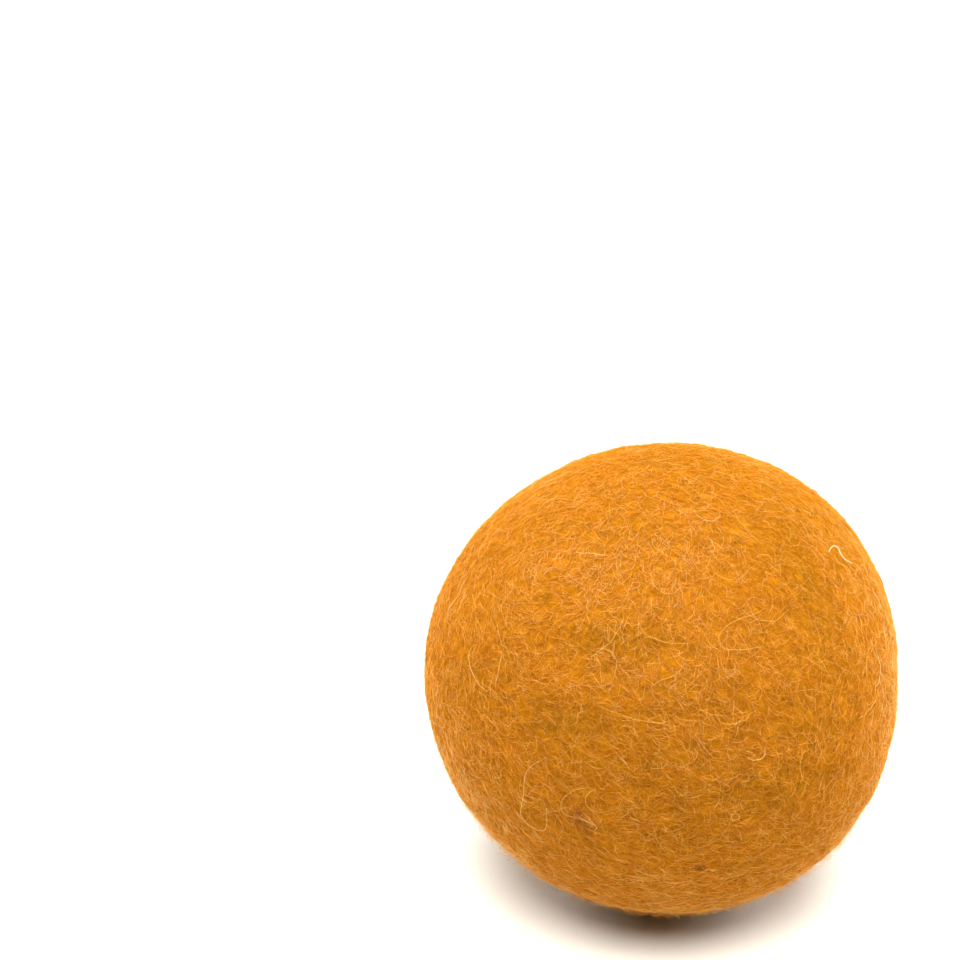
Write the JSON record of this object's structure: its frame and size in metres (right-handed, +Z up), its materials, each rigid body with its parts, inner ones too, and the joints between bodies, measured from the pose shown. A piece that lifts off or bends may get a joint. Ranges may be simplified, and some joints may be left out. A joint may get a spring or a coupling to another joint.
{
  "type": "wool dryer ball",
  "caption": "Wet-felted wool dryer ball, wound from crossing strips of carded wool round a rolled core, with a dyed outer layer and a fuzzy, fibrous surface.",
  "frame": {"origin": "on the floor, under the middle of the ball's bounding box", "axes": "+Z up; the last wrap is wound about X, so its two closing tufts face +X and -X"},
  "size_m": [0.07, 0.07, 0.069],
  "materials": {
    "dyed_felt": "matte wet-felted wool, orange, with lighter surface fibres and a short fuzz",
    "undyed_wool": "matte felted wool in its natural cream"
  },
  "bodies": {
    "root": {"core_roll": "undyed_wool", "undyed_wrap_1": "undyed_wool", "undyed_wrap_2": "undyed_wool", "undyed_wrap_3": "undyed_wool", "undyed_wrap_4": "undyed_wool", "dyed_wrap_1": "dyed_felt", "dyed_wrap_2": "dyed_felt", "dyed_wrap_3": "dyed_felt", "closing_tuft_left": "dyed_felt", "closing_tuft_right": "dyed_felt"}
  },
  "joints": []
}
